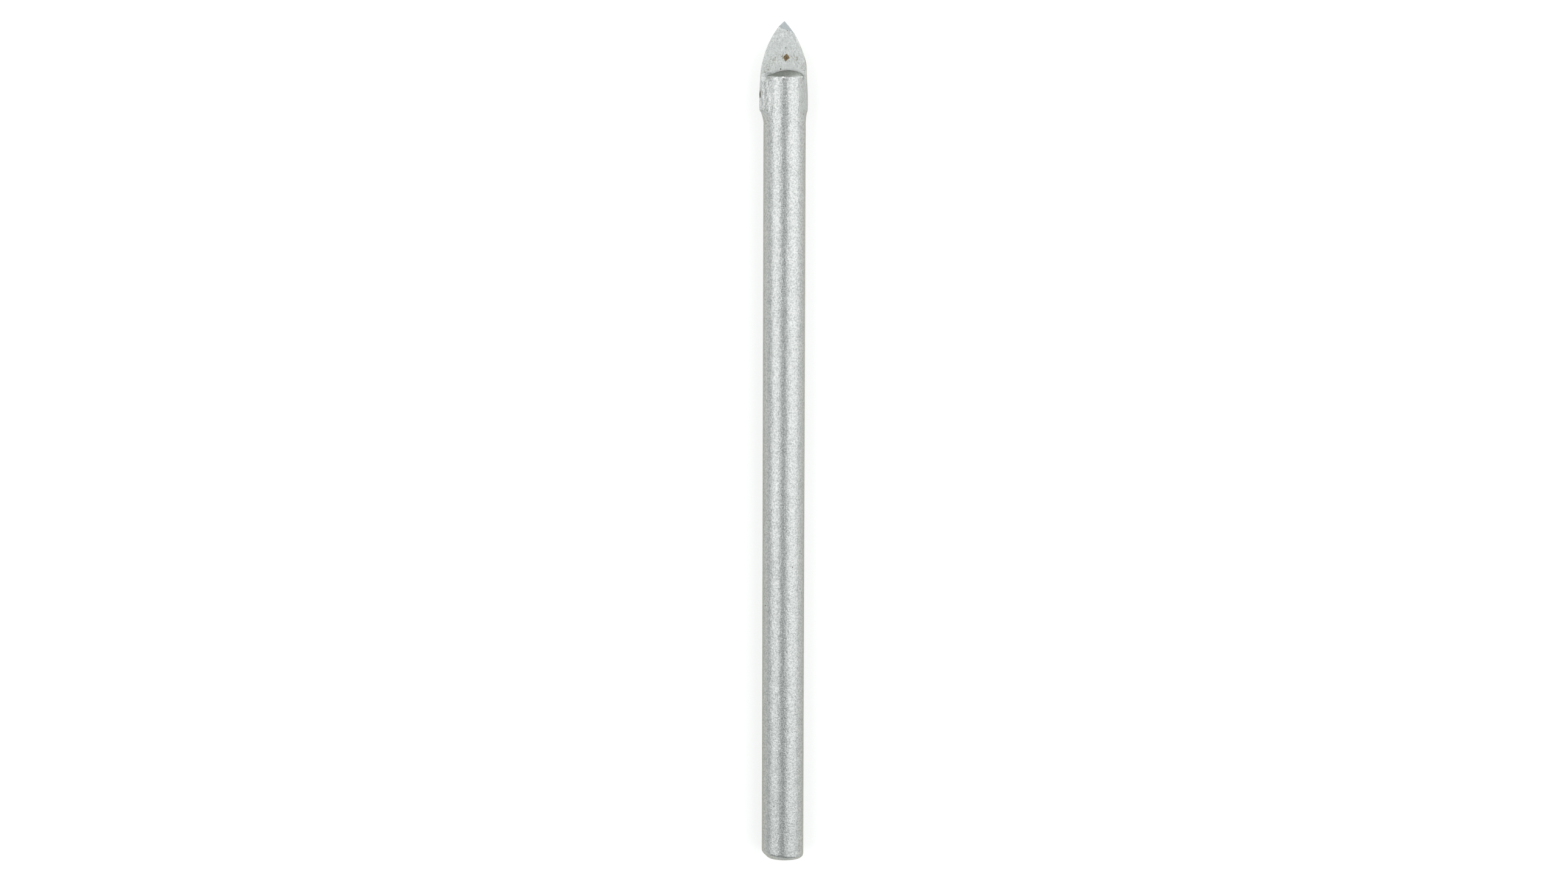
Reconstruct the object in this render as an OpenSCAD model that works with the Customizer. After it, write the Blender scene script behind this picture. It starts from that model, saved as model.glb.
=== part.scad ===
// Glass and tile drill bit: a plated round shank with a carbide spear-point tip brazed into its slotted end.
// Sizes are in millimetres. The bit lies along Y on its shank, with the point at +Y and a broad face of the
// tip upwards. Each piece is drawn standing on its cut-off end, with Z along the bit, and is then laid down.

/* [Overall] */
// Length from the cut-off end to the point
overall_len = 83.5; // [70:0.5:110]

/* [Shank] */
// Diameter of the round shank
shank_d = 4.18; // [3.6:0.02:4.4]
// Width of the bevel round the cut-off end
end_bevel = 0.41; // [0.3:0.01:0.9]
// Height of that bevel for each millimetre of its width
bevel_steepness = 1; // [0.6:0.1:2]
// How far the bevel was ground to one side, where it is narrower
bevel_offset = 0.19; // [0:0.01:0.25]
// Distance from the point down to the rim where the cheeks end
cheek_setback = 5.65; // [5:0.05:6.5]
// Slope of the cheeks' conical ends, in degrees from square
cheek_slope = 30; // [15:1:40]
// Taper of the slotted head, where it is dressed after brazing, in degrees
head_taper = 0.75; // [0.25:0.25:1.5]
// Distance from the braze's lowest end down to where that taper starts
head_margin = 0.6; // [0.4:0.1:2]

/* [Tip] */
// Width of the tip across its widest stretch
tip_w = 4.76; // [4.5:0.02:5.4]
// Length of the tip from its foot to the point
tip_len = 8.95; // [8:0.05:10]
// Thickness of the tip
tip_t = 1.5; // [1.1:0.05:1.9]
// How far the tip was brazed in to one side of the shank's axis
tip_offset = -0.1; // [-0.15:0.01:0.15]
// Radius of the curved cutting edges
edge_r = 8.6; // [8:0.1:11]
// Taper of each side below the cutting edges, in degrees
side_taper = 2.5; // [1:0.25:4]
// Length of the tapered stretch
taper_len = 1.8; // [1:0.1:2.2]
// Radius of the corners at the foot
foot_r = 0.2; // [0.1:0.02:0.4]
// Relief angle of the ground edges, in degrees
edge_relief = 3; // [1:0.5:6]

/* [Ground point] */
// Distance from the point down the middle of the face to the ground facet's border
facet_reach = 0.82; // [0.6:0.02:1.2]
// Slant of that border across the face, in degrees
facet_slant = 22; // [10:1:30]
// Thickness left at the very point
point_web = 0.14; // [0.08:0.02:0.3]

/* [Braze] */
// Thickness of the braze film round the tip in its slot
braze_gap = 0.06; // [0.04:0.01:0.1]
// How far the fillets stop short of the tip's sides
fillet_inset = 0.08; // [0.04:0.01:0.14]
// Slope of the fillets away from the tip's face, in degrees
fillet_slope = 36; // [30:1:37]
// Length of the flare that runs down the shank below the foot
toe_len = 0.95; // [0.6:0.05:1.4]
// Width of that flare
flare_w = 0.42; // [0.3:0.02:0.6]
// Length over which the fillets run out below the rim
rim_fade = 0.7; // [0.4:0.05:1.2]
// How far the ends of the flare and the fillets sink into the shank's surface
run_out_depth = 0.03; // [0.02:0.01:0.06]

/* [Hidden] */
$fn = 96;

shank_r = shank_d / 2;
end_r = shank_r - end_bevel;
rim_z = overall_len - cheek_setback;
foot_z = overall_len - tip_len;
toe_z = foot_z - toe_len;
head_z = toe_z - head_margin;
slot_w = tip_t + 2 * braze_gap;
slot_floor_z = foot_z - braze_gap;

// The outline of one side of the tip, from its foot at height 0 to the point at tip_len.
// Half the relief's run is taken off, so that the tip measures tip_w over its outermost edges.
side_x = tip_w / 2 - tip_t / 2 * tan(edge_relief);
shoulder_x = side_x - taper_len * tan(side_taper);
point_angle = acos(cos(side_taper) - shoulder_x / edge_r);
shoulder_z = tip_len - edge_r * (sin(point_angle) - sin(side_taper));
taper_z = shoulder_z - taper_len;
// The straight stretch of the outline laps the curved one inside the tip.
outline_lap = taper_len / 2;
facet_angle = atan((tip_t - point_web) / 2 / (facet_reach * cos(facet_slant)));

// Radius of the shank at a height: a round bar up to head_z, then slightly tapered to the rim.
function bar_r(z) = shank_r - max(0, z - head_z) * tan(head_taper);
rim_r = bar_r(rim_z);
cone_h = (rim_r - tip_t / 2) * tan(cheek_slope);

// Half width of the tip at the rim, where its sides have begun to taper.
rim_side_x = side_x - max(0, rim_z - foot_z - taper_z) * tan(side_taper);

// Stands a shape drawn along Z down on its side, along Y, on the plane Z = 0.
module lay_down() {
    translate([0, -overall_len / 2, shank_r]) rotate([-90, 0, 0]) children();
}

// The turned blank of the shank: a round bar, a slightly tapered head and a blunt cone at its end.
module turned_bar() {
    cylinder(h = head_z, r = shank_r);
    translate([0, 0, head_z]) cylinder(h = rim_z - head_z, r1 = shank_r, r2 = rim_r);
    translate([0, 0, rim_z]) cylinder(h = cone_h, r1 = rim_r, r2 = tip_t / 2);
}

// A cone that bevels the cut-off end, a little to one side, and clears the rest of the bar.
module end_cone() {
    translate([bevel_offset, 0, 0])
        cylinder(h = overall_len, r1 = end_r, r2 = end_r + overall_len / bevel_steepness);
}

module slot() {
    translate([-shank_d, -slot_w / 2, slot_floor_z]) cube([2 * shank_d, slot_w, tip_len]);
}

module shank_solid() {
    difference() {
        intersection() {
            turned_bar();
            end_cone();
        }
        slot();
    }
}

// One side of the tip: its right-hand edge has the true outline, and it is left wide on the other side.
module side_outline() {
    translate([shoulder_x - edge_r * cos(side_taper), shoulder_z - edge_r * sin(side_taper)])
        intersection() {
            circle(r = edge_r);
            translate([-edge_r, edge_r * sin(side_taper)]) square([2 * edge_r, edge_r]);
        }
    polygon([
        [-tip_w, 0], [side_x - foot_r, 0], [side_x, foot_r],
        [side_x, taper_z], [shoulder_x, shoulder_z],
        [shoulder_x - outline_lap, shoulder_z + outline_lap], [-tip_w, shoulder_z + outline_lap]
    ]);
    translate([side_x - foot_r, foot_r]) circle(r = foot_r);
}

// The plane of the ground facet on the face towards -Y, as a block standing in front of it.
module facet_block() {
    translate([0, -tip_t / 2, tip_len - facet_reach]) rotate([0, facet_slant, 0]) rotate([-facet_angle, 0, 0])
        translate([-tip_w, -tip_len, -tip_len]) cube([2 * tip_w, tip_len, 2 * tip_len]);
}

// The sintered plate: both edges are relieved the same way round the axis, for a right-hand cut.
module tip_solid() {
    translate([tip_offset, 0, foot_z]) difference() {
        intersection() {
            translate([-tip_w, -tip_t / 2, 0]) cube([2 * tip_w, tip_t, tip_len]);
            side_blade(0);
            side_blade(180);
        }
        facet_block();
        rotate([0, 0, 180]) facet_block();
    }
}

module side_blade(turn) {
    rotate([0, 0, turn - edge_relief]) rotate([90, 0, 0])
        linear_extrude(height = 4 * tip_w, center = true) side_outline();
}

// Cross-section of one corner fillet. Its slope runs from the tip's face into the round of the shank.
module fillet_section(reach) {
    on_face = [reach, tip_t / 2];
    polygon([[0, 0], [reach, 0], on_face, on_face + reach / 2 * [-cos(fillet_slope), sin(fillet_slope)]]);
}

// All four corners: the fillets are fuller on the side that the tip sits towards.
module fillets_section(half_w) {
    for (face = [0, 1]) mirror([0, face]) {
        fillet_section(half_w - fillet_inset + tip_offset);
        mirror([1, 0]) fillet_section(half_w - fillet_inset - tip_offset);
    }
}

// The braze runs out on the shank below the foot, in a hollow flare, and just under the cheeks' rim.
module run_out_envelope() {
    rotate_extrude() polygon([
        [0, toe_z], [bar_r(toe_z) - run_out_depth, toe_z],
        [shank_r + flare_w / 4, foot_z - toe_len / 2], [shank_r + flare_w, foot_z + toe_len / 2],
        [shank_r + flare_w, rim_z - rim_fade], [rim_r - run_out_depth, rim_z], [0, rim_z]
    ]);
}

module braze_fillets() {
    intersection() {
        union() {
            translate([0, 0, toe_z]) linear_extrude(height = foot_z + foot_r - toe_z) fillets_section(side_x);
            translate([0, 0, foot_z]) linear_extrude(height = rim_z - foot_z) fillets_section(rim_side_x);
        }
        run_out_envelope();
    }
}

module braze_solid() {
    difference() {
        union() {
            intersection() {
                turned_bar();
                slot();
            }
            braze_fillets();
        }
        shank_solid();
        tip_solid();
    }
}

module shank() {
    color([0.75, 0.76, 0.75]) lay_down() shank_solid();
}

module carbide_tip() {
    color([0.72, 0.74, 0.74]) lay_down() tip_solid();
}

module braze() {
    color([0.68, 0.69, 0.67]) lay_down() braze_solid();
}

shank();
carbide_tip();
braze();
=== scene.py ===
"""Glass and tile drill bit, dressed for a look straight down on it as it lies on a pale floor."""

import math
from typing import NamedTuple

import bpy
import numpy as np
from mathutils import Matrix


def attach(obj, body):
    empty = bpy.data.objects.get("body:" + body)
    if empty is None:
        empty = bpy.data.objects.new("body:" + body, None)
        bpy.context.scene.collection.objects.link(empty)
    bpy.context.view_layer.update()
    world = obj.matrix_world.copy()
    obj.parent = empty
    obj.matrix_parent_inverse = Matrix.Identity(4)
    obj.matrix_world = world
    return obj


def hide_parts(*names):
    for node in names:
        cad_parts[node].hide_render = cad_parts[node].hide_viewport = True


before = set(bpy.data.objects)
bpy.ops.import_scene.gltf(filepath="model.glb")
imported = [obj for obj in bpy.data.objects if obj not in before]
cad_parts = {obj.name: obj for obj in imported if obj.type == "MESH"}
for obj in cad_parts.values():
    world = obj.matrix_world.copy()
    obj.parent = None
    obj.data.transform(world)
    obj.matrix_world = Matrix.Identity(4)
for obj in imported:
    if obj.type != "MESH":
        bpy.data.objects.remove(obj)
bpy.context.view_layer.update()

# Sizes of the solids, in millimetres, in the part's own upright frame: Z runs from the cut-off end to the
# point, and the broad face that the photo shows looks towards -Y. TIP_SIDE_X is half the tip's width,
# STRAIGHT_LEN the length of its sides below their taper, and FACE_H the height of its face above the axis.
OVERALL_LEN = 83.5
SHANK_R = 2.09
END_BEVEL = 0.41
BEVEL_STEEPNESS = 1
BEVEL_OFFSET = 0.19
CHEEK_SETBACK = 5.65
HEAD_TAPER = math.radians(0.75)
HEAD_MARGIN = 0.6
TIP_LEN = 8.95
TIP_T = 1.5
TIP_OFFSET = -0.1
TIP_SIDE_X = 2.34
TIP_RELIEF = math.radians(3)
TIP_TAPER = math.radians(2.5)
STRAIGHT_LEN = 1.7
FACET_REACH = 0.82
FACET_SLANT = math.radians(22)
BRAZE_GAP = 0.06
TOE_LEN = 0.95
MM = 0.001

END_R = SHANK_R - END_BEVEL
BEVEL_H = END_BEVEL * BEVEL_STEEPNESS
RIM_Z = OVERALL_LEN - CHEEK_SETBACK
FOOT_Z = OVERALL_LEN - TIP_LEN
TOE_Z = FOOT_Z - TOE_LEN
HEAD_Z = TOE_Z - HEAD_MARGIN
RIM_R = SHANK_R - (RIM_Z - HEAD_Z) * math.tan(HEAD_TAPER)
SLOT_W = TIP_T + 2 * BRAZE_GAP
FACE_H = TIP_T / 2

# The photo's frame in pixels, and the camera that took it: its distance from the place that it aims at, its
# focal length in pixels, the angle by which it stands over towards the point, its roll, and its aim, as a
# distance below the point and to the right of the axis.
PHOTO_W = 2576
PHOTO_H = 1449
CAMERA_MM = 231.0
CAMERA_PX = 3805
CAMERA_TILT = math.radians(3.53)
CAMERA_ROLL = 0.002921
AIM_SETBACK = 41.516
AIM_X = 0.031


def to_row(points):
    """Points in the upright frame, in millimetres, as points in the row's frame, in metres."""
    x, y, z = points.T
    return np.stack([x, z - OVERALL_LEN / 2, SHANK_R - y], axis=1) * MM


def to_row_direction(way):
    return np.array([way[0], way[2], -way[1]])


def from_row(points):
    """The reverse of to_row."""
    x, y, z = points.T / MM
    return np.stack([x, SHANK_R - z, y + OVERALL_LEN / 2], axis=1)


def camera_pose():
    """The camera's place in the upright frame, and its right, up and forward directions."""
    forward = np.array([0, math.cos(CAMERA_TILT), -math.sin(CAMERA_TILT)])
    level_up = np.array([0, math.sin(CAMERA_TILT), math.cos(CAMERA_TILT)])
    level_right = np.array([1.0, 0, 0])
    right = level_right * math.cos(CAMERA_ROLL) + level_up * math.sin(CAMERA_ROLL)
    up = level_up * math.cos(CAMERA_ROLL) - level_right * math.sin(CAMERA_ROLL)
    place = np.array([AIM_X, 0, OVERALL_LEN - AIM_SETBACK]) - forward * CAMERA_MM
    return place, right, up, forward


def photo_x_z(column, line, height):
    """Upright x and z of a pixel of the photo, for a point that lies height above the axis."""
    place, right, up, forward = camera_pose()
    ray = forward * CAMERA_PX + right * (column - PHOTO_W / 2) - up * (line - PHOTO_H / 2)
    point = place + ray * (-height - place[1]) / ray[1]
    return point[0], point[2]


class Ripple(NamedTuple):
    """Random unevenness: its depth, about how far apart its crests lie, and the seed of its draws."""
    depth: float
    wavelength: float
    seed: int


# How many waves make up a ripple, and the shortest and longest of them as shares of its wavelength.
WAVES = 28
WAVE_SPREAD = (0.7, 1.6)


def ripples(points, *layers):
    """A smooth random field over points: one ripple, or several on top of each other."""
    total = np.zeros(len(points))
    for layer in layers:
        draw = np.random.default_rng(layer.seed)
        ways = draw.normal(size=(WAVES, 3))
        ways /= np.linalg.norm(ways, axis=1)[:, None]
        pace = 2 * math.pi / (layer.wavelength * draw.uniform(*WAVE_SPREAD, WAVES))
        phase = draw.uniform(0, 2 * math.pi, WAVES)
        field = np.zeros(len(points))
        for way, rate, start in zip(ways, pace, phase):
            field += np.cos(points @ way * rate + start)
        total += layer.depth * (field * math.sqrt(2 / WAVES))
    return total


def smooth_step(value, low, high):
    t = np.clip((value - low) / (high - low), 0, 1)
    return t * t * (3 - 2 * t)


def new_object(name, data):
    obj = bpy.data.objects.new(name, data)
    bpy.context.collection.objects.link(obj)
    return obj


def new_mesh(name, points, faces):
    """A smooth-shaded mesh object from points in the upright frame."""
    mesh = bpy.data.meshes.new(name)
    mesh.from_pydata(points.tolist(), [], faces)
    mesh.shade_smooth()
    return new_object(name, mesh)


def apply_modifiers(obj):
    """Puts the mesh that the object's modifiers make in place of the object's own."""
    graph = bpy.context.evaluated_depsgraph_get()
    mesh = bpy.data.meshes.new_from_object(obj.evaluated_get(graph))
    obj.modifiers.clear()
    old = obj.data
    obj.data = mesh
    bpy.data.meshes.remove(old)


def points_of(mesh):
    flat = np.empty(len(mesh.vertices) * 3, dtype=np.float32)
    mesh.vertices.foreach_get("co", flat)
    return flat.reshape(-1, 3).astype(float)


def normals_of(mesh):
    flat = np.empty(len(mesh.vertices) * 3, dtype=np.float32)
    mesh.vertex_normals.foreach_get("vector", flat)
    return flat.reshape(-1, 3).astype(float)


def move_points(mesh, points):
    mesh.vertices.foreach_set("co", points.astype(np.float32).ravel())
    mesh.update()


def add_masks(mesh, **masks):
    """Stores a value for each point of the mesh under each name, for the materials to read."""
    for name, values in masks.items():
        layer = mesh.attributes.new(name, "FLOAT", "POINT")
        layer.data.foreach_set("value", values.astype(np.float32))


def settle(obj, node):
    """Takes a finished piece to the row's frame, in place of its solid."""
    mesh = obj.data
    move_points(mesh, to_row(points_of(mesh)))
    mesh.shade_smooth()
    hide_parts(node)
    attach(obj, "root")


def capped_faces(rings, around):
    """The faces of a stack of rings closed at both ends, with the two middle points last."""
    low = rings * around
    high = low + 1
    top = (rings - 1) * around
    faces = []
    for ring in range(rings - 1):
        for spoke in range(around):
            beside = (spoke + 1) % around
            faces.append((ring * around + spoke, ring * around + beside,
                          (ring + 1) * around + beside, (ring + 1) * around + spoke))
    for spoke in range(around):
        beside = (spoke + 1) % around
        faces.append((low, beside, spoke))
        faces.append((high, top + spoke, top + beside))
    return faces


# The shank

SHANK_AROUND = 240
# Longest steps between rings along the bar and at its head, and how far below the rim the head's rings and
# the shape of the cheeks' ends start.
RING_STEP = 0.35
FINE_STEP = 0.06
FINE_LEN = 1
# Radius of the innermost ring on the cut-off end.
CORE_R = 0.3
# How far from its corner a softened edge starts, at the cut-off end, at its bevel's ridge and elsewhere.
SOFT_END = 0.1
SOFT_RIDGE = 0.16
SOFT_EDGE = 0.06
# Height up the bar where the lean of the bevel's ridge has died out.
BEVEL_FADE_Z = 5 * BEVEL_H
# The cheeks' ends: how steeply they rise from the rim towards the tip, the share of that rise that is flat
# and not conical, the rise of the flat grinding inside the rim, their lean to one side, and the widths
# inside the rim over which that grinding and that lean set in.
END_SLOPE = 0.47
FLAT_SHARE = 0.28
INNER_RISE = 0.1
END_LEAN = 0.1
INNER_W = 0.25
LEAN_W = 0.7
# A small burr on the rim: its pixel in the photo, its height and its radius.
BURR = (1286.5, 126.5)
BURR_H = 0.1
BURR_R = 0.12
# Drawn bar is never quite true: about a micrometre of waviness, in long waves that are stretched along the
# bar and in short ones, from a share of the radius outwards.
LONG_WAVES = Ripple(depth=0.001, wavelength=0.9, seed=11)
SHORT_WAVES = Ripple(depth=0.001, wavelength=0.4, seed=12)
STRETCHED = (1, 1, 0.35)
WAVY_R = 0.8 * SHANK_R


def rounded_profile(corners, reaches, steps=6):
    """A profile with each inner corner turned into a curve that starts and ends a reach away from it."""
    soft = [corners[0]]
    for before, corner, after, reach in zip(corners, corners[1:], corners[2:], reaches):
        before, corner, after = map(np.array, (before, corner, after))
        back = before - corner
        ahead = after - corner
        first = corner + back / np.linalg.norm(back) * reach
        last = corner + ahead / np.linalg.norm(ahead) * reach
        for t in np.linspace(0, 1, steps):
            soft.append(tuple((1 - t) ** 2 * first + 2 * t * (1 - t) * corner + t ** 2 * last))
    soft.append(corners[-1])
    return soft


def cone_height(x, y):
    """Height of the conical rise of the cheeks' ends from their rim."""
    return RIM_Z + (1 - FLAT_SHARE) * END_SLOPE * (RIM_R - np.hypot(x, y))


def end_rise(x, y):
    """Height of the cheeks' ends above that conical rise."""
    flat = RIM_R - np.abs(y)
    inside = RIM_R - np.hypot(x, y)
    leaning = END_LEAN * x * smooth_step(inside, 0, LEAN_W)
    return FLAT_SHARE * END_SLOPE * flat + INNER_RISE * flat * smooth_step(inside, 0, INNER_W) + leaning


def shank_rings():
    """Radius and height of each ring of points, from the cut-off end to the tops of the cheeks."""
    below_rim = (RIM_R + FINE_LEN * math.tan(HEAD_TAPER), RIM_Z - FINE_LEN)
    corners = [(CORE_R, 0), (END_R, 0), (SHANK_R, BEVEL_H), (SHANK_R, HEAD_Z), below_rim,
               (RIM_R, RIM_Z), (FACE_H, cone_height(FACE_H, 0))]
    profile = rounded_profile(corners, [SOFT_END, SOFT_RIDGE, SOFT_EDGE, SOFT_EDGE, SOFT_EDGE])
    rings = []
    for (r0, z0), (r1, z1) in zip(profile, profile[1:]):
        longest = FINE_STEP if z0 >= RIM_Z - FINE_LEN else RING_STEP
        steps = max(1, int(math.hypot(r1 - r0, z1 - z0) / longest))
        for step in range(steps):
            t = step / steps
            rings.append((r0 + (r1 - r0) * t, z0 + (z1 - z0) * t))
    rings.append(profile[-1])
    return np.array(rings)


def make_slot_cutter():
    """A box that fills the slot and reaches past the shank on both sides."""
    corners = np.array([[x, y, z] for x in (-1, 1) for y in (-1, 1) for z in (0, 1)], dtype=float)
    corners *= [2 * SHANK_R, SLOT_W / 2, TIP_LEN]
    corners[:, 2] += FOOT_Z - BRAZE_GAP
    sides = [(0, 1, 3, 2), (4, 6, 7, 5), (0, 4, 5, 1), (2, 3, 7, 6), (0, 2, 6, 4), (1, 5, 7, 3)]
    return new_mesh("slot_cutter", corners, sides)


def make_shank():
    radii, heights = shank_rings().T
    turn = np.linspace(0, 2 * math.pi, SHANK_AROUND, endpoint=False)
    points = np.stack([np.outer(radii, np.cos(turn)), np.outer(radii, np.sin(turn)),
                       np.outer(heights, np.ones(SHANK_AROUND))], axis=2).reshape(-1, 3)
    points = np.vstack([points, [0, 0, heights[0]], [0, 0, heights[-1]]])
    # These are views: what changes in them changes in the points.
    x, y, z = points.T
    # The bevel of the cut-off end was ground a little to one side, where it is narrower and lower.
    risen = np.clip(z / BEVEL_H, 0, 1)
    leaning = 1 - smooth_step(z, BEVEL_H, BEVEL_FADE_Z)
    z -= BEVEL_STEEPNESS * BEVEL_OFFSET * x / SHANK_R * risen * leaning
    x += BEVEL_OFFSET * (1 - risen)
    # The cheeks' ends are ground partly flat, and stand higher on the right.
    z += end_rise(x, y) * smooth_step(z, RIM_Z - FINE_LEN, RIM_Z)
    burr_x, burr_z = photo_x_z(*BURR, RIM_R)
    from_burr = np.hypot(x - burr_x, z - burr_z)
    y -= BURR_H * np.exp(-(from_burr / BURR_R) ** 2) * (y < 0)
    waviness = ripples(points * STRETCHED, LONG_WAVES) + ripples(points, SHORT_WAVES)
    wavy = smooth_step(np.hypot(x, y), WAVY_R, SHANK_R)
    points[:, :2] *= (1 + wavy * waviness / SHANK_R)[:, None]
    shank = new_mesh("plated_shank", points, capped_faces(len(radii), SHANK_AROUND))

    cutter = make_slot_cutter()
    cut = shank.modifiers.new("slot", "BOOLEAN")
    cut.operation = "DIFFERENCE"
    cut.solver = "EXACT"
    cut.object = cutter
    apply_modifiers(shank)
    bpy.data.objects.remove(cutter)
    settle(shank, "shank")
    return shank


# The carbide tip

TIP_VOXEL = 0.036
# How strongly and how often the fine mesh is smoothed.
SMOOTH_FACTOR = 0.5
SMOOTH_TIMES = 4
# How far the tip leans to the right, and between which heights.
TIP_LEAN = 0.06
TIP_LEAN_Z = (RIM_Z + 0.3, RIM_Z + 2.5)
# How much of a point's normal looks along Y where the face begins and is full, and where the painted shade on
# the tip's edges, turned partly away from the face, begins, is full, starts to end and has ended.
FACE_FLATNESS = (0.3, 0.8)
EDGE_SHADE_BEGINS = (0.15, 0.4)
EDGE_SHADE_ENDS = (0.72, 0.93)
# The coat's lumps, their share on the tip's sides, and the height and width of the thin lip in which the
# coat ends at the ground facet.
COAT_LUMPS = [
    Ripple(depth=0.010, wavelength=1.1, seed=22),
    Ripple(depth=0.005, wavelength=0.42, seed=23),
    Ripple(depth=0.002, wavelength=0.2, seed=24),
]
SIDE_SHARE = 0.3
LIP_H = 0.03
LIP_W = 0.09
# How far below the facet's edge the coat is ground off, and the raggedness and softness of that border.
BARE_MARGIN = 0.05
BARE_RAGGED = Ripple(depth=0.035, wavelength=0.5, seed=21)
BARE_BORDER = (-0.02, 0.03)
# The thicker coat on the right shoulder: its line in the photo, its height, half its length, and how much of
# a point's normal looks to the right where it begins and is full.
SHOULDER_LINE = 103
SHOULDER_H = 0.07
SHOULDER_LEN = 0.6
SHOULDER_FLATNESS = (0.5, 0.9)
# Drops in the coat: their pixels in the photo, with radius and rise in millimetres.
DROPS = [
    (1284.8, 55.0, 0.12, 0.03), (1284.4, 59.0, 0.14, 0.035), (1273.3, 59.5, 0.2, 0.035),
    (1281.5, 47.0, 0.12, 0.03), (1287.0, 49.0, 0.1, 0.03), (1322.0, 119.0, 0.22, 0.05),
]
# The brown speck: the pixels of its corners, its depth, and the raggedness and softness of its border.
SPECK = [(1292.6, 88.9), (1296.4, 95.2), (1290.4, 100.0), (1286.9, 93.6)]
SPECK_DEPTH = 0.025
SPECK_RAGGED = Ripple(depth=0.009, wavelength=0.3, seed=25)
SPECK_BORDER = (-0.06, -0.02)
# Dark pits: their pixels with radius, their depth, and the share of the radius where they are deepest.
PITS = [(1282.5, 113.3, 0.12), (1293.5, 50.3, 0.07), (1290.5, 78.5, 0.07), (1293.0, 79.0, 0.06)]
PIT_DEPTH = 0.03
PIT_CORE = 0.2
# The brown residue on the face lies along a ragged arch round the cheek's end: the pixel of its centre, its
# half width and height, and its thickness as a share of those.
ARCH_CENTRE = (1290, 127)
ARCH_HALF_W = 2.05
ARCH_H = 2.05
ARCH_RAGGED = Ripple(depth=0.05, wavelength=0.8, seed=27)
ARCH_THICKNESS = 0.14
# The height over which the darker, more flecked coat near the cheeks runs out, and its raggedness.
NEAR_CHEEKS_Z = (RIM_Z + 0.9, RIM_Z + 2.9)
NEAR_CHEEKS_RAGGED = Ripple(depth=0.15, wavelength=1.2, seed=26)
# Painted shade just above the cheeks' ends, where the tip's face meets them: its width, and how far it stays
# inside the rim.
CONTACT_SHADE_W = 0.14
CONTACT_SHADE_INSET = 0.15


def facet_border(x, z):
    """Height above the border of the ground facet, on the face towards -Y."""
    return z - (OVERALL_LEN - FACET_REACH) + BARE_MARGIN + (x - TIP_OFFSET) * math.tan(FACET_SLANT)


def remeshed(name, node, voxel):
    """A fine, even mesh of a solid, in the upright frame."""
    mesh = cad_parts[node].data.copy()
    move_points(mesh, from_row(points_of(mesh)))
    obj = new_object(name, mesh)
    fine = obj.modifiers.new("fine", "REMESH")
    fine.mode = "VOXEL"
    fine.voxel_size = voxel
    soft = obj.modifiers.new("soft", "SMOOTH")
    soft.factor = SMOOTH_FACTOR
    soft.iterations = SMOOTH_TIMES
    apply_modifiers(obj)
    obj.data.materials.clear()
    return obj


def from_pixel(points, column, line):
    """How far points of the tip's face lie from a pixel of the photo."""
    at_x, at_z = photo_x_z(column, line, FACE_H)
    return np.hypot(points[:, 0] - at_x, points[:, 2] - at_z)


def inside_speck(points):
    """How far points of the tip's face lie inside the ragged border of the speck."""
    x, _, z = points.T
    corners = [photo_x_z(column, line, FACE_H) for column, line in SPECK]
    inside = np.full(len(points), np.inf)
    for (ax, az), (bx, bz) in zip(corners, corners[1:] + corners[:1]):
        run = math.hypot(bx - ax, bz - az)
        inside = np.minimum(inside, ((x - ax) * (bz - az) - (z - az) * (bx - ax)) / run)
    return inside + ripples(points, SPECK_RAGGED)


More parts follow.
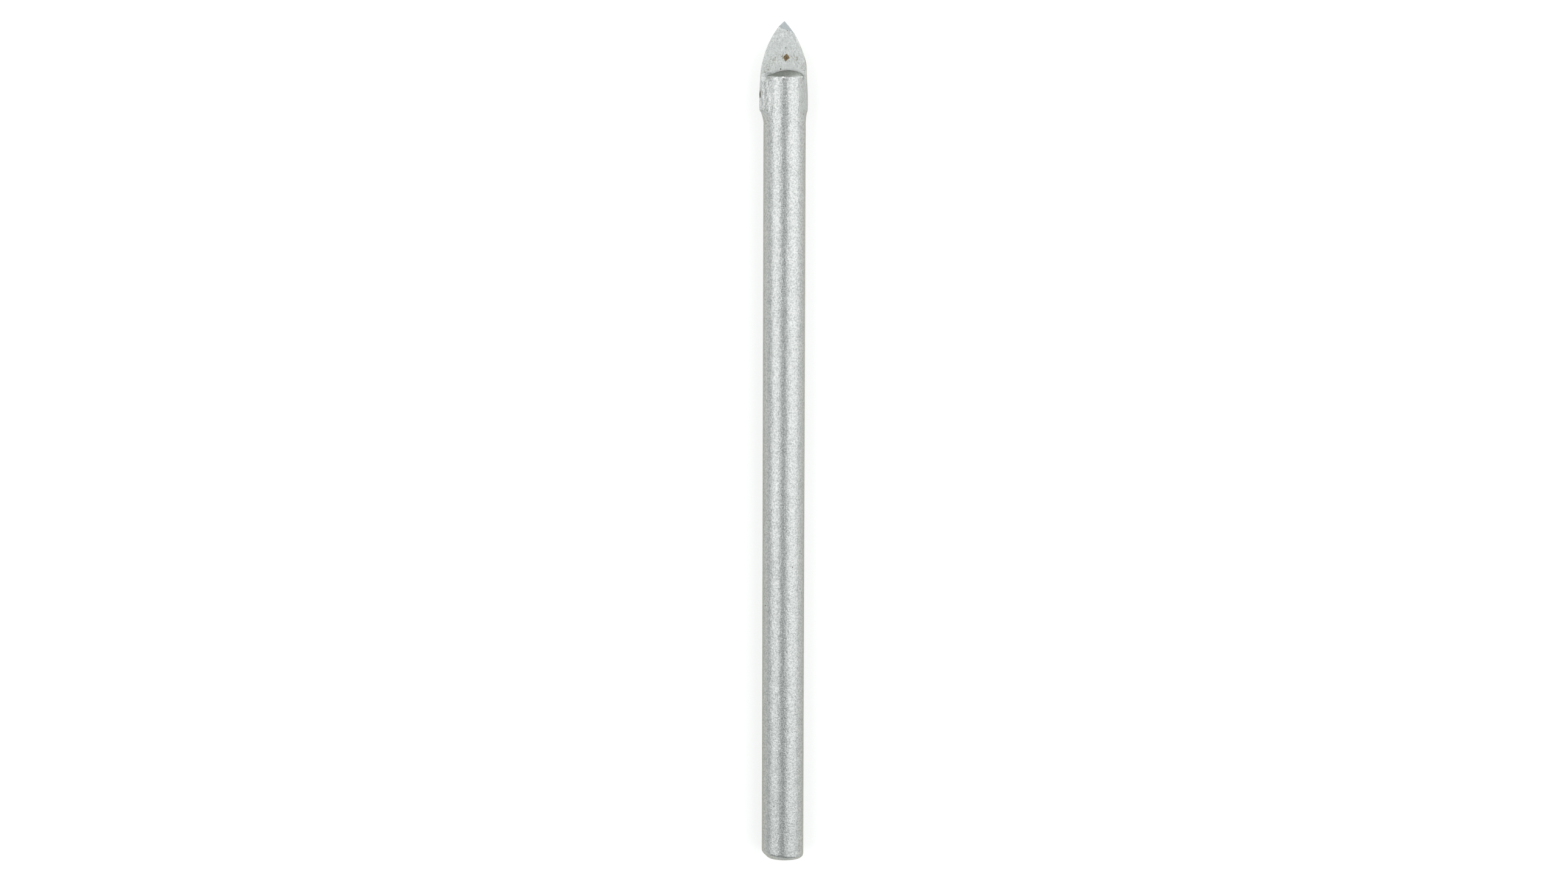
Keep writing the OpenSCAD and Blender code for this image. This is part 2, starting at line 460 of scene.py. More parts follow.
def make_tip():
    tip = remeshed("spear_tip", "carbide_tip", TIP_VOXEL)
    mesh = tip.data
    points = points_of(mesh)
    normals = normals_of(mesh)
    mid_x = points[:, 0] - TIP_OFFSET
    points[:, 0] += TIP_LEAN * smooth_step(points[:, 2], *TIP_LEAN_Z)
    x, y, z = points.T
    # The back is the front turned half round.
    turned = np.where(y < 0, 1.0, -1.0)
    above = facet_border(TIP_OFFSET + mid_x * turned, z) + ripples(points, BARE_RAGGED)
    bare = smooth_step(above, *BARE_BORDER)
    flatness = np.abs(normals[:, 1])
    facing = smooth_step(flatness, *FACE_FLATNESS)
    # Painted shade: points turned partly away from the face, on the tip's edges, are marked for darkening.
    edge = smooth_step(flatness, *EDGE_SHADE_BEGINS) * (1 - smooth_step(flatness, *EDGE_SHADE_ENDS))
    front = (y < 0) * facing

    lumps = ripples(points, *COAT_LUMPS) * (SIDE_SHARE + (1 - SIDE_SHARE) * facing)
    lip = LIP_H * np.exp(-(np.minimum(above, 0) / LIP_W) ** 2)
    lift = (1 - bare) * (lumps + lip * facing)
    shoulder_z = photo_x_z(PHOTO_W / 2, SHOULDER_LINE, 0)[1]
    shoulder = SHOULDER_H * np.exp(-((z - shoulder_z) / SHOULDER_LEN) ** 2)
    lift += shoulder * smooth_step(normals[:, 0], *SHOULDER_FLATNESS)
    # The fourth power gives the drops flat tops.
    for column, line, radius, rise in DROPS:
        lift += front * rise * np.exp(-(from_pixel(points, column, line) / radius) ** 4)
    speck = front * smooth_step(inside_speck(points), *SPECK_BORDER)
    lift -= SPECK_DEPTH * speck
    pit = np.zeros(len(points))
    for column, line, radius in PITS:
        outside = smooth_step(from_pixel(points, column, line), radius * PIT_CORE, radius)
        pit = np.maximum(pit, front * (1 - outside))
    lift -= PIT_DEPTH * pit
    move_points(mesh, points + normals * lift[:, None])

    arch_x, arch_z = photo_x_z(*ARCH_CENTRE, FACE_H)
    arch = np.hypot((x - arch_x) / ARCH_HALF_W, (z - arch_z) / ARCH_H) + ripples(points, ARCH_RAGGED)
    above_end = np.maximum(0, z - cone_height(x, y) - end_rise(x, y))
    add_masks(
        mesh,
        bare=bare,
        edge=edge,
        residue=np.exp(-((arch - 1) / ARCH_THICKNESS) ** 2),
        # Darker and more flecked towards the cheeks.
        stain=1 - smooth_step(z + ripples(points, NEAR_CHEEKS_RAGGED), *NEAR_CHEEKS_Z),
        # Painted shade just above the cheeks' ends.
        crevice=np.exp(-(above_end / CONTACT_SHADE_W) ** 2) * (np.abs(x) < RIM_R - CONTACT_SHADE_INSET),
        speck=speck,
        pit=pit,
    )
    settle(tip, "carbide_tip")
    return tip


# The braze

BRAZE_AROUND = 360
BRAZE_RINGS = 130
# Lowest and highest ring, which are hidden in the shank and in the tip.
BRAZE_LOW_Z = TOE_Z - 0.1
BRAZE_HIGH_Z = RIM_Z + 1.2
# How much of the full fillet there is at each height.
BRAZE_SHARES = [
    (BRAZE_LOW_Z, -0.25), (TOE_Z, 0.04), (FOOT_Z - 0.64, 0.19), (FOOT_Z - 0.28, 0.45), (FOOT_Z, 0.72),
    (FOOT_Z + 0.15, 0.9), (FOOT_Z + 0.3, 1), (BRAZE_HIGH_Z, 1),
]
# How far the tip's sides curve in above the rim, for each square of the height.
SIDE_CURVE = 0.06
# How far the braze laps over the fillet's plain slope, and the share of the slope where that lap is full.
BRAZE_LAP = 0.012
LAP_FULL = 0.5
# How deep the skin sinks into the shank past a fillet, and over which angle.
SINK = 0.1
SINK_ANGLE = math.radians(8)
# The braze's lumps, their share on the right, the angle past the tip's edge and the share of the slope over
# which they set in.
BRAZE_LUMPS = [Ripple(depth=0.007, wavelength=0.6, seed=31), Ripple(depth=0.004, wavelength=0.25, seed=32)]
RIGHT_LUMPS = 0.3
LUMPS_ANGLE = 0.1
LUMPS_FULL = 0.3
# Where the braze starts and ends its run down to the tip's face, near the tip's edge and near the cheek, and
# the angles before and after the end of a fillet between which the one run turns into the other.
LEFT_RUN = (RIM_Z - 0.55, RIM_Z + 0.75)
RIGHT_RUN = (RIM_Z - 0.5, RIM_Z + 0.4)
CHEEK_RUN = (RIM_Z - 0.3, RIM_Z + 0.2)
BEFORE_CHEEK = math.radians(6)
AFTER_CHEEK = math.radians(4)
# How far the skin ends below the tip's face, and the shares by which it draws in beside the tip.
FACE_SINK = 0.03
DRAW_IN_X = 0.03
DRAW_IN_Y = 0.1
# The film between the tip and a cheek: its columns of points and the corners of each, half its width, how
# far it laps into the cheek and the tip, how far it rises on the tip above the cheek's end and dips into that
# end, and how far below the rim its two sides have their middles.
FILM_COLUMNS = 80
FILM_CORNERS = 4
FILM_HALF_W = 1.85
CHEEK_LAP = 0.005
TIP_LAP = 0.03
FILM_RISE = 0.07
FILM_DIP = 0.02
FILM_MIDDLE = 1
# The dark smudge on the left edge: its line in the photo, half its length and height, its raggedness, the
# share of those where it is full, and the width over which it sets in.
SMUDGE_LINE = 155
SMUDGE_LEN = 0.36
SMUDGE_H = 0.4
SMUDGE_RAGGED = Ripple(depth=0.15, wavelength=0.3, seed=33)
SMUDGE_CORE = 0.6
SMUDGE_W = 0.06
# Where the finish of the braze turns into the tip's, into that of its right side and into the shank's.
UPPER_Z = (RIM_Z - 0.8, RIM_Z + 0.4)
RIGHT_X = (0, 0.5)
TOE_FADE_Z = (TOE_Z, FOOT_Z + 0.2)


def film_points(side):
    """The film of braze between the tip and a cheek, with a small fillet at the cheek's end."""
    x = np.linspace(-FILM_HALF_W, FILM_HALF_W, FILM_COLUMNS)
    outer_y = SLOT_W / 2 + CHEEK_LAP
    inner_y = FACE_H - TIP_LAP
    end_z = cone_height(x, outer_y) + end_rise(x, outer_y)
    low = np.full(FILM_COLUMNS, FOOT_Z)
    corners = [(outer_y, low), (inner_y, low), (inner_y, end_z + FILM_RISE), (outer_y, end_z - FILM_DIP)]
    ring = [np.stack([x, np.full(FILM_COLUMNS, side * y), z], axis=1) for y, z in corners[::side]]
    middle_y = side * (outer_y + inner_y) / 2
    middles = [[end_x, middle_y, RIM_Z - FILM_MIDDLE] for end_x in (-FILM_HALF_W, FILM_HALF_W)]
    return np.vstack([np.stack(ring, axis=1).reshape(-1, 3), middles])


def braze_skin():
    """The skin of all four fillets, as rings round the shank and the tip."""
    turn = np.linspace(0, 2 * math.pi, BRAZE_AROUND, endpoint=False)
    levels = np.linspace(BRAZE_LOW_Z, BRAZE_HIGH_Z, BRAZE_RINGS)
    angle, z = (grid.ravel() for grid in np.meshgrid(turn, levels))
    left = np.cos(angle) < 0
    # The angle away from the tip's nearer side.
    off = np.abs((angle + math.pi / 2) % math.pi - math.pi / 2)
    bar = SHANK_R - np.maximum(0, np.minimum(z, RIM_Z) - HEAD_Z) * math.tan(HEAD_TAPER)
    # The tip's sides taper above the foot, and their relief turns the same way round the axis on both.
    taper = np.maximum(0, z - FOOT_Z - STRAIGHT_LEN) * math.tan(TIP_TAPER)
    taper += SIDE_CURVE * np.maximum(0, z - RIM_Z) ** 2
    reach = TIP_SIDE_X - taper + np.where(left, -TIP_OFFSET, TIP_OFFSET)
    steepest = FACE_H / TIP_SIDE_X
    reach /= 1 - np.clip(np.tan(angle), -steepest, steepest) * math.tan(TIP_RELIEF)
    corner = np.arctan(FACE_H / reach)
    # Each fillet slopes straight from the tip's edge to where it touches the round of the shank.
    span = corner + np.arccos(bar / np.hypot(reach, FACE_H))
    fullness = np.clip((span - off) / (span - corner), 0, 1)
    slope = bar / np.cos(np.clip(span - off, 0, span - corner))
    rise = np.where(off < corner, reach / np.cos(off), slope) - bar
    share = np.interp(z, *zip(*BRAZE_SHARES))
    past = np.clip((off - span) / SINK_ANGLE, 0, 1)
    lap = BRAZE_LAP * np.clip(share, 0, 1) * smooth_step(fullness, 0, LAP_FULL)
    radius = bar + rise * share + lap - SINK * past
    x = radius * np.cos(angle)
    y = radius * np.abs(np.sin(angle))
    lumps = ripples(np.stack([x, y, z], axis=1), *BRAZE_LUMPS) * np.where(left, 1, RIGHT_LUMPS)
    lumps *= smooth_step(off, corner, corner + LUMPS_ANGLE) * smooth_step(fullness, 0, LUMPS_FULL)
    y += lumps * np.clip(share, 0, 1)
    # Near the rim the braze runs down to the tip's face, gently beside the edge and steeply at the cheek.
    inward = smooth_step(off, span - BEFORE_CHEEK, span + AFTER_CHEEK)
    edge_start = np.where(left, LEFT_RUN[0], RIGHT_RUN[0])
    edge_end = np.where(left, LEFT_RUN[1], RIGHT_RUN[1])
    run_start = edge_start + (CHEEK_RUN[0] - edge_start) * inward
    run_end = edge_end + (CHEEK_RUN[1] - edge_end) * inward
    kept = 1 - smooth_step(z, run_start, run_end)
    on_face = off > corner
    run_y = FACE_H + (y - FACE_H) * kept - FACE_SINK * (1 - kept)
    y = np.where(on_face, run_y, y * (1 - DRAW_IN_Y + DRAW_IN_Y * kept))
    x = np.where(on_face, x, x * (1 - DRAW_IN_X + DRAW_IN_X * kept))
    points = np.stack([x, y * np.sign(np.sin(angle)), z], axis=1)
    return np.vstack([points, [0, 0, BRAZE_LOW_Z], [0, 0, BRAZE_HIGH_Z]])


def make_braze():
    points = braze_skin()
    skin_count = len(points)
    faces = capped_faces(BRAZE_RINGS, BRAZE_AROUND)
    for side in (-1, 1):
        film_faces = capped_faces(FILM_COLUMNS, FILM_CORNERS)
        faces += [tuple(index + len(points) for index in face) for face in film_faces]
        points = np.vstack([points, film_points(side)])
    braze = new_mesh("braze_fillets", points, faces)
    x, y, z = points.T
    smudge_z = photo_x_z(PHOTO_W / 2, SMUDGE_LINE, FACE_H)[1]
    from_smudge = np.hypot((z - smudge_z) / SMUDGE_LEN, (y + FACE_H) / SMUDGE_H)
    from_smudge += ripples(points, SMUDGE_RAGGED)
    on_left = smooth_step(-x, TIP_SIDE_X, TIP_SIDE_X + SMUDGE_W)
    add_masks(
        braze.data,
        smudge=on_left * (1 - smooth_step(from_smudge, SMUDGE_CORE, 1)),
        upper=smooth_step(z, *UPPER_Z),
        right=smooth_step(x, *RIGHT_X),
        film=np.arange(len(points)) >= skin_count,
        toe=1 - smooth_step(z, *TOE_FADE_Z),
    )
    settle(braze, "braze")
    return braze


# Materials


class Clouds(NamedTuple):
    """Cloudy noise with features of about a size, which is 0 up to low and a full share from high on."""
    size_mm: float
    low: float
    high: float
    share: float = 1
    detail: float = 3
    rough: float = 0.65
    twist: float = 0


class Nodes:
    """A small helper that adds nodes to a material and joins them."""

    # Share of a round mark's radius where it is at its full strength.
    SPOT_CORE = 0.4

    def __init__(self, name):
        self.material = bpy.data.materials.new(name)
        self.material.use_nodes = True
        self.tree = self.material.node_tree
        self.shader = self.tree.nodes["Principled BSDF"]
        self.output = self.tree.nodes["Material Output"]

    def add(self, kind, **inputs):
        """A node with its inputs set, each from a value or from another node's output socket."""
        node = self.tree.nodes.new(kind)
        for name, value in inputs.items():
            self.put(node, name, value)
        return node

    def put(self, node, name, value):
        """Sets an input, which is named by its words with _ between them, or by _ and its number."""
        socket = node.inputs[int(name[1:])] if name[0] == "_" else node.inputs[name.replace("_", " ")]
        if isinstance(value, bpy.types.NodeSocket):
            self.tree.links.new(value, socket)
        else:
            socket.default_value = value

    def place(self):
        return self.add("ShaderNodeTexCoord").outputs["Object"]

    def noise(self, place, size_mm, detail, rough, twist=0):
        node = self.add("ShaderNodeTexNoise", Vector=place, Scale=1 / (size_mm * MM), Detail=detail,
                        Roughness=rough, Distortion=twist)
        return node.outputs["Fac"]

    def clouds(self, place, kind):
        noise = self.noise(place, kind.size_mm, kind.detail, kind.rough, kind.twist)
        return self.remap(noise, kind.low, kind.high, to_high=kind.share)

    def math(self, operation, first, second=0.0):
        node = self.add("ShaderNodeMath", _0=first, _1=second)
        node.operation = operation
        return node.outputs[0]

    def times(self, first, second):
        return self.math("MULTIPLY", first, second)

    def remap(self, value, low=0, high=1, to_low=0, to_high=1):
        node = self.add("ShaderNodeMapRange", Value=value, From_Min=low, From_Max=high,
                        To_Min=to_low, To_Max=to_high)
        return node.outputs["Result"]

    def blend(self, share, first, second):
        """A mix of two colours, which are inputs 6 and 7 and output 2 of its node."""
        node = self.add("ShaderNodeMix")
        node.data_type = "RGBA"
        self.put(node, "_0", share)
        self.put(node, "_6", first)
        self.put(node, "_7", second)
        return node.outputs[2]

    def mask(self, name):
        node = self.add("ShaderNodeAttribute")
        node.attribute_name = name
        return node.outputs["Fac"]

    def spots(self, place, marks):
        """How far each point lies inside the round marks, which are given by centre and radius."""
        inside = 0.0
        for centre, radius in marks:
            far = self.add("ShaderNodeVectorMath", _0=place, _1=centre)
            far.operation = "DISTANCE"
            within = self.remap(far.outputs["Value"], radius, radius * self.SPOT_CORE)
            inside = self.math("MAXIMUM", inside, within)
        return inside

    def bump(self, height_mm):
        node = self.add("ShaderNodeBump", Height=height_mm, Strength=1.0, Distance=MM)
        return node.outputs["Normal"]


# Colours of the plating: two tones of silver, the dark of its pores, and the tint of glancing reflections.
SILVER = (0.545, 0.55, 0.54, 1)
SILVER_DULL = (0.52, 0.525, 0.515, 1)
PORE = (0.095, 0.115, 0.12, 1)
GRAZING_TINT = (0.72, 0.72, 0.63, 1)
# Painted light: the paler plating on the cheeks' ends, and the painted glint on the burr.
CHEEK_END_LIGHT = (0.8, 0.82, 0.8, 1)
BURR_GLINT = (0.95, 0.95, 0.93, 1)
# The tip's coat and its mottling, and the ground carbide.
TIP_SILVER = (0.64, 0.66, 0.65, 1)
TIP_GREY = (0.36, 0.355, 0.33, 1)
CARBIDE = (0.53, 0.56, 0.58, 1)
CARBIDE_LIGHT = (0.63, 0.66, 0.68, 1)
# Painted shade on the braze on the right, and on its film at the cheeks' ends.
BRAZE_RIGHT_SHADE = (0.36, 0.37, 0.36, 1)
FILM_SHADE = (0.4, 0.4, 0.39, 1)
# Dirt and painted shade: the brown speck, stains, whose colour also paints the shade on the tip's edges,
# residue, pits, and the painted shade above the cheeks' ends.
BRONZE = (0.19, 0.125, 0.055, 1)
BRONZE_DARK = (0.08, 0.055, 0.03, 1)
STAIN_AND_SHADE = (0.17, 0.15, 0.11, 1)
RESIDUE = (0.17, 0.14, 0.09, 1)
PIT = (0.05, 0.04, 0.03, 1)
CONTACT_SHADE = (0.24, 0.24, 0.23, 1)

# Unevenness that all the plating has: the size of its patches and the range of their noise over which its
# tone changes, the size of its coarse relief, its dark specks, and how much larger its creases are than its
# grain.
PATCH_MM = 1.7
PATCH_TONE = (0.35, 0.65)
COARSE_MM = 1.1
SPECKLE = Clouds(size_mm=0.16, low=0.4, high=0.66, detail=2, rough=0.75)
CREASE_SIZE = 1.4
# The middle of the noise, where a crease runs.
NOISE_MIDDLE = 0.5


def plating(name, grain_mm, grain_depth_mm, crease_depth_mm, coarse_depth_mm, speckle):
    """Satin silver plating over a blasted surface: worm-like grain, patches of sheen and dark specks.

    It leaves the shader's colour and roughness to be set from the colour and the patches that it gives back.
    """
    n = Nodes(name)
    place = n.place()
    patches = n.noise(place, PATCH_MM, detail=3, rough=0.5)
    tone = n.blend(n.remap(patches, *PATCH_TONE), SILVER, SILVER_DULL)
    colour = n.blend(n.clouds(place, SPECKLE._replace(share=speckle)), tone, PORE)
    grain = n.noise(place, grain_mm, detail=2, rough=0.55, twist=0.7)
    worms = n.noise(place, grain_mm * CREASE_SIZE, detail=1, rough=0.5, twist=1.2)
    crease = n.math("ABSOLUTE", n.math("SUBTRACT", worms, NOISE_MIDDLE))
    coarse = n.noise(place, COARSE_MM, detail=2, rough=0.66)
    height = n.math("ADD", n.times(grain, grain_depth_mm), n.times(crease, crease_depth_mm))
    height = n.math("ADD", height, n.times(coarse, coarse_depth_mm))
    n.put(n.shader, "Metallic", 1.0)
    n.put(n.shader, "Specular_Tint", GRAZING_TINT)
    n.put(n.shader, "Normal", n.bump(height))
    return n, colour, patches


# The shank's roughness, how far it changes to either side with the patches, and the range of the patches'
# noise over which it does.
SHANK_ROUGHNESS = 0.285
ROUGHNESS_CHANGE = 0.01
PATCH_SHEEN = (0.3, 0.7)
# Dark marks on the shank, at the photo's pixels, with their radius in millimetres, and how dark they are.
SHANK_MARKS = [
    (1302.0, 932.0, 0.1), (1257.5, 995.0, 0.09), (1254.5, 795.0, 0.08), (1262.5, 126.5, 0.1),
    (1316.5, 267.0, 0.06), (1318.5, 265.0, 0.06), (1320.5, 262.5, 0.06),
    (1271.0, 891.0, 0.06), (1271.5, 893.5, 0.06), (1297.0, 1021.0, 0.06), (1297.5, 1024.0, 0.06),
]
MARK_SHARE = 0.8
# Painted shade: the plating is darkened a little towards the cut-off end, where the light falls off: where
# that starts and ends along the bit, in the row's frame, and by how much.
FALLOFF_SHADE_FROM = 25
FALLOFF_SHADE_TO = -40
FALLOFF_SHADE_SHARE = 0.1
# Painted light on the cheeks' ends, whose plating is painted paler: where along the bit it starts and is
# full, in the row's frame, its mottling, and where across the bit, towards the right, it grows paler, and by
# how much.
END_FROM = RIM_Z - OVERALL_LEN / 2
END_FULL = END_FROM + 0.06
END_LIGHT_MOTTLE = Clouds(size_mm=0.16, low=0.38, high=0.62, share=0.7, twist=0.5)
LIT_FROM = 0.4
LIT_TO = 1.3
LIT_SHARE = 0.35


def on_shank(column, line, tries=4):
    """The row's point on the round of the shank at a pixel of the photo, closer with each try."""
    height = SHANK_R
    for _ in range(tries):
        x, z = photo_x_z(column, line, height)
        height = math.sqrt(SHANK_R ** 2 - x ** 2)
    return tuple(to_row(np.array([[x, -height, z]]))[0])


def cheek_end_light(n, place):
    """How much painted light the cheeks' ends get: plating painted paler, mottled, and paler on the right."""
    split = n.add("ShaderNodeSeparateXYZ", Vector=place)
    on_end = n.remap(split.outputs["Y"], END_FROM * MM, END_FULL * MM)
    lit_right = n.remap(split.outputs["X"], LIT_FROM * MM, LIT_TO * MM, to_high=LIT_SHARE)
    return n.times(on_end, n.math("ADD", n.clouds(place, END_LIGHT_MOTTLE), lit_right))


def shank_finish():
    """The plating of the shank, with dark pits and scratches, painted shade towards the cut-off end, painted
    light on the cheeks' ends and a painted glint on the burr.
    """
    n, colour, patches = plating("shank_plating", grain_mm=0.135, grain_depth_mm=0.027,
                                 crease_depth_mm=0.016, coarse_depth_mm=0.06, speckle=0.5)
    place = n.place()
    marks = [(on_shank(column, line), radius * MM) for column, line, radius in SHANK_MARKS]
    colour = n.blend(n.times(n.spots(place, marks), MARK_SHARE), colour, PIT)
    along = n.add("ShaderNodeSeparateXYZ", Vector=place).outputs["Y"]
    # Painted shade: darker towards the cut-off end, where the light falls off.
    colour = n.blend(n.remap(along, FALLOFF_SHADE_FROM * MM, FALLOFF_SHADE_TO * MM, to_high=FALLOFF_SHADE_SHARE), colour, PORE)
    # Painted light: the cheeks' ends are painted paler, more so towards the right.
    colour = n.blend(cheek_end_light(n, place), colour, CHEEK_END_LIGHT)
    # Painted glint: a bright spot painted on the burr.
    glint = n.spots(place, [(on_shank(*BURR), BURR_R * MM)])
    n.put(n.shader, "Base_Color", n.blend(glint, colour, BURR_GLINT))
    smoothest = SHANK_ROUGHNESS - ROUGHNESS_CHANGE
    roughest = SHANK_ROUGHNESS + ROUGHNESS_CHANGE
    n.put(n.shader, "Roughness", n.remap(patches, *PATCH_SHEEN, smoothest, roughest))
    return n.material


# The tip: how much of its coat is the paler silver, its roughness, that of the ground carbide, and how
# metallic the dirt is.
TIP_BRIGHTNESS = 0.75
TIP_ROUGHNESS = 0.44
BARE_ROUGHNESS = 0.34
DIRT_METALLIC = 0.1
# Its uneven colours: grey mottling, flecks of stain, residue, ground carbide and the speck's rust.
MOTTLE = Clouds(size_mm=0.16, low=0.47, high=0.68, share=0.5, twist=0.5)
FLECKS = Clouds(size_mm=0.22, low=0.6, high=0.75, share=0.6)
RESIDUE_CLOUDS = Clouds(size_mm=0.14, low=0.5, high=0.64, share=0.9, rough=0.7)
GROUND = Clouds(size_mm=0.1, low=0.35, high=0.65, rough=0.6)
RUST = Clouds(size_mm=0.12, low=0.42, high=0.62, detail=2, rough=0.6)
# The share of the flecks away from the cheeks, and how strong the darkening near the cheeks, the painted
# shade on the edges and the painted shade above the cheeks' ends are.
CLEAN_FLECKS = 0.35
NEAR_CHEEKS_DULLING = 0.3
EDGE_SHADE_SHARE = 0.75
CONTACT_SHADE_SHARE = 0.55


def tip_finish():
    """The plating of the tip, with its ground facet, the brown speck and pits let into it, and painted shade
    on its edges and above the cheeks' ends.
    """
    n, colour, _ = plating("tip_plating", grain_mm=0.15, grain_depth_mm=0.034,
                           crease_depth_mm=0.012, coarse_depth_mm=0.05, speckle=0.3)
    place = n.place()
    carbide = n.blend(n.clouds(place, GROUND), CARBIDE, CARBIDE_LIGHT)
    rust = n.blend(n.clouds(place, RUST), BRONZE, BRONZE_DARK)
    colour = n.blend(TIP_BRIGHTNESS, colour, TIP_SILVER)
    colour = n.blend(n.clouds(place, MOTTLE), colour, TIP_GREY)
    # The flecks grow denser and the coat darker towards the cheeks.
    flecked = n.remap(n.mask("stain"), to_low=CLEAN_FLECKS)
    colour = n.blend(n.times(n.clouds(place, FLECKS), flecked), colour, STAIN_AND_SHADE)
    colour = n.blend(n.times(n.clouds(place, RESIDUE_CLOUDS), n.mask("residue")), colour, RESIDUE)
    colour = n.blend(n.times(n.mask("stain"), NEAR_CHEEKS_DULLING), colour, SILVER_DULL)
    # Painted shade on the tip's edges.
    colour = n.blend(n.times(n.mask("edge"), EDGE_SHADE_SHARE), colour, STAIN_AND_SHADE)
    # Painted shade just above the cheeks' ends.
    colour = n.blend(n.times(n.mask("crevice"), CONTACT_SHADE_SHARE), colour, CONTACT_SHADE)
    colour = n.blend(n.mask("bare"), colour, carbide)
    colour = n.blend(n.mask("speck"), colour, rust)
    colour = n.blend(n.mask("pit"), colour, PIT)
    n.put(n.shader, "Base_Color", colour)
    dirt = n.math("MAXIMUM", n.mask("speck"), n.mask("pit"))
    n.put(n.shader, "Metallic", n.remap(dirt, to_low=1, to_high=DIRT_METALLIC))
    n.put(n.shader, "Roughness", n.remap(n.mask("bare"), to_low=TIP_ROUGHNESS, to_high=BARE_ROUGHNESS))
    return n.material


# The braze: how much of its plating is the tip's paler silver, its roughness, how strongly painted shade
# darkens its right side, and its stains.
BRAZE_BRIGHTNESS = 0.1
BRAZE_ROUGHNESS = 0.29
RIGHT_SHADE_SHARE = 0.8
BRAZE_STAINS = Clouds(size_mm=0.3, low=0.56, high=0.72, share=0.6)


def braze_finish():
    """The plating over the braze: rough, sparkling, stained here and there, with painted shade on its right
    side and on its film.
    """
    n, colour, _ = plating("braze_plating", grain_mm=0.14, grain_depth_mm=0.03,
                           crease_depth_mm=0.018, coarse_depth_mm=0.06, speckle=0.46)
    place = n.place()
    upper = n.mask("upper")
    brightness = n.remap(upper, to_low=BRAZE_BRIGHTNESS, to_high=TIP_BRIGHTNESS)
    # At its toe the braze has the shank's colours.
    own = n.remap(n.mask("toe"), to_low=1, to_high=0)
    colour = n.blend(n.times(brightness, own), colour, TIP_SILVER)
    # Painted shade on the braze's right side.
    colour = n.blend(n.times(n.times(n.mask("right"), RIGHT_SHADE_SHARE), own), colour, BRAZE_RIGHT_SHADE)
    colour = n.blend(n.times(n.clouds(place, MOTTLE), upper), colour, TIP_GREY)
    colour = n.blend(n.clouds(place, BRAZE_STAINS), colour, STAIN_AND_SHADE)
    # Painted shade: the film at the cheeks' ends is painted dark.
    colour = n.blend(n.mask("film"), colour, FILM_SHADE)
    n.put(n.shader, "Base_Color", n.blend(n.mask("smudge"), colour, PIT))
    n.put(n.shader, "Roughness", n.remap(upper, to_low=BRAZE_ROUGHNESS, to_high=TIP_ROUGHNESS))
    return n.material


# Floor, lights and camera

# The floor: half its width in metres, its colour, and how brightly it glows to the camera and in
# reflections.
FLOOR_HALF_W = 3
FLOOR_COLOUR = (0.55, 0.55, 0.54, 1)
FLOOR_GLOW = 0.52
WHITE = (1, 1, 1, 1)
WORLD_COLOUR = (0.94, 1, 1, 1)
WORLD_LIGHT = 0.54
# The light panels, in metres: how far off they stand, how long they are, and how far they are set towards
# the point.
LIGHT_DISTANCE = 0.3
LIGHT_LENGTH = 0.42
LIGHT_SHIFT = 0.06
# Watts of an area lamp for each square metre and each unit of its radiance.
WATTS_PER_RADIANCE = 4
SENSOR_MM = 36
# Nearest and farthest that the camera sees, in metres.
CLIP_START = 0.01
CLIP_END = 10


def floor_finish():
    """A pale floor that keeps its shadow, and glows to the camera and in reflections."""
    n = Nodes("pale_floor")
    path = n.add("ShaderNodeLightPath")
    seen = n.math("MAXIMUM", path.outputs["Is Camera Ray"], path.outputs["Is Glossy Ray"])
    seen = n.math("MAXIMUM", seen, path.outputs["Is Transmission Ray"])
    matt = n.add("ShaderNodeBsdfDiffuse", Color=FLOOR_COLOUR)
    glow = n.add("ShaderNodeEmission", Color=WHITE, Strength=n.times(seen, FLOOR_GLOW))
    both = n.add("ShaderNodeAddShader", _0=matt.outputs[0], _1=glow.outputs[0])
    n.put(n.output, "Surface", both.outputs[0])
    return n.material


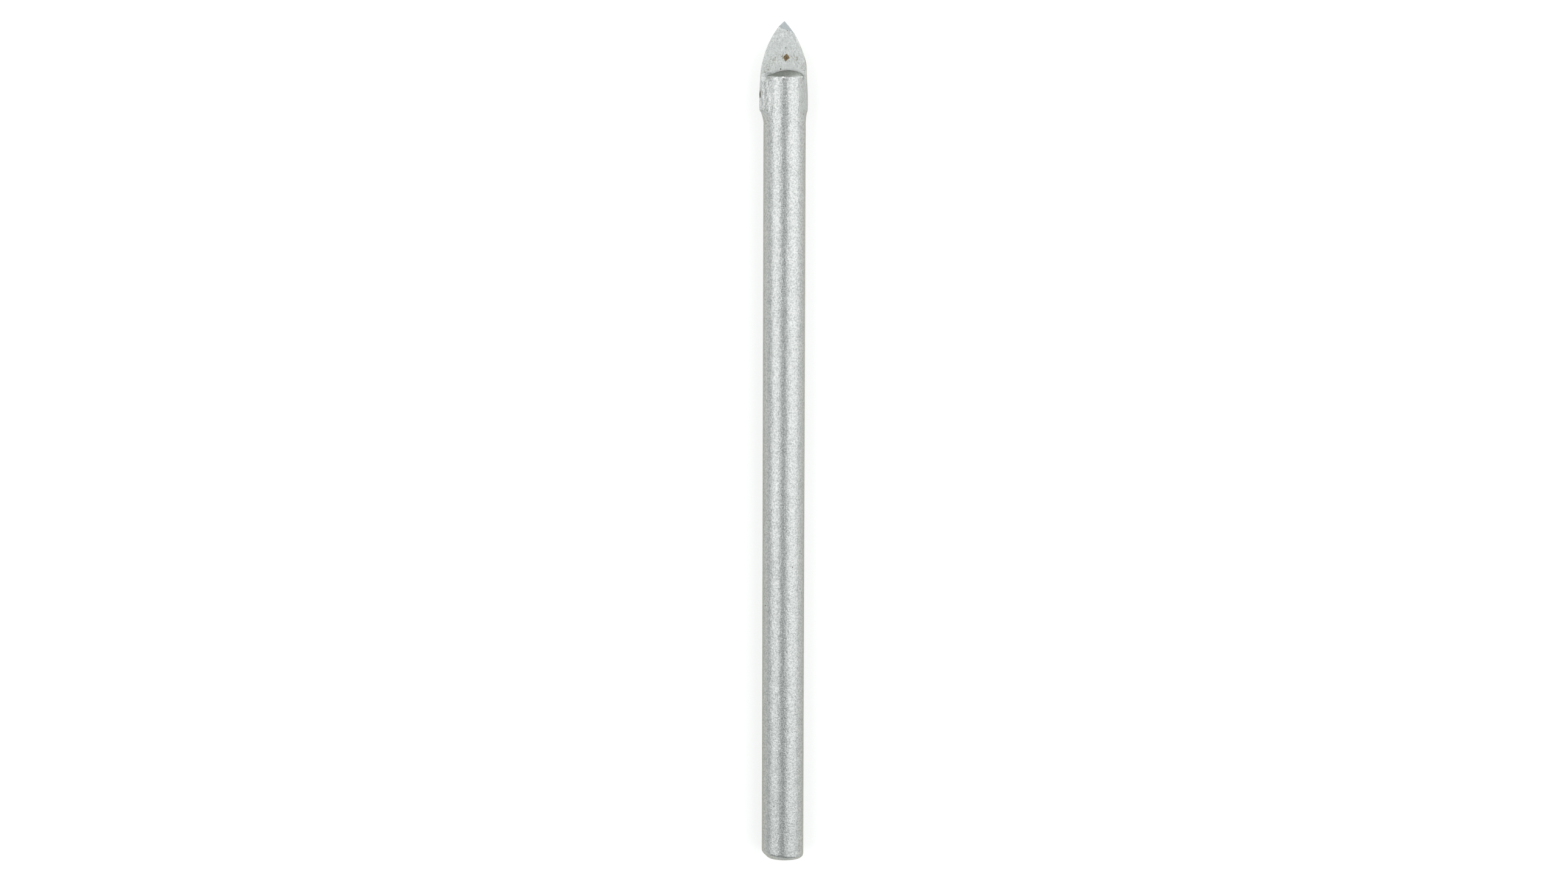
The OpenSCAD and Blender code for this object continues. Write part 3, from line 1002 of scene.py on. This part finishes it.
def make_floor():
    half = FLOOR_HALF_W
    corners = [(-half, -half, 0), (half, -half, 0), (half, half, 0), (-half, half, 0)]
    mesh = bpy.data.meshes.new("floor")
    mesh.from_pydata(corners, [], [(0, 1, 2, 3)])
    mesh.materials.append(floor_finish())
    floor = new_object("floor", mesh)


def make_world():
    world = bpy.data.worlds.new("studio")
    bpy.context.scene.world = world
    world.use_nodes = True
    back = world.node_tree.nodes["Background"]
    back.inputs["Color"].default_value = WORLD_COLOUR
    back.inputs["Strength"].default_value = WORLD_LIGHT


def make_panel(name, near_deg, far_deg, radiance):
    """A soft panel beside the bit, reaching from one angle off the vertical to another."""
    near, far = (np.array([math.sin(math.radians(a)), math.cos(math.radians(a))]) * LIGHT_DISTANCE
                 for a in (near_deg, far_deg))
    middle = (near + far) / 2
    width = float(np.linalg.norm(far - near))
    lamp = bpy.data.lights.new(name, "AREA")
    lamp.shape = "RECTANGLE"
    lamp.size = width
    lamp.size_y = LIGHT_LENGTH
    lamp.energy = radiance * WATTS_PER_RADIANCE * width * LIGHT_LENGTH
    panel = new_object(name, lamp)
    panel.location = (middle[0], LIGHT_SHIFT, middle[1])
    panel.rotation_euler = (0, math.atan2(middle[0], middle[1]), 0)
    panel.visible_camera = False


def make_camera():
    data = bpy.data.cameras.new("camera")
    data.sensor_width = SENSOR_MM
    data.lens = SENSOR_MM * CAMERA_PX / PHOTO_W
    data.clip_start = CLIP_START
    data.clip_end = CLIP_END
    camera = new_object("camera", data)
    place, *ways = camera_pose()
    right, up, forward = (to_row_direction(way) for way in ways)
    turn = Matrix((right, up, -forward)).transposed()
    camera.matrix_world = Matrix.Translation(to_row(np.array([place]))[0]) @ turn.to_4x4()
    bpy.context.scene.camera = camera


shank = make_shank()
tip = make_tip()
braze = make_braze()
shank.data.materials.append(shank_finish())
tip.data.materials.append(tip_finish())
braze.data.materials.append(braze_finish())
make_floor()
make_world()
make_panel("right_panel", near_deg=16, far_deg=84, radiance=1.03)
make_panel("left_panel", near_deg=-17.5, far_deg=-71, radiance=1.04)
make_camera()
bpy.context.scene.view_settings.view_transform = "Standard"
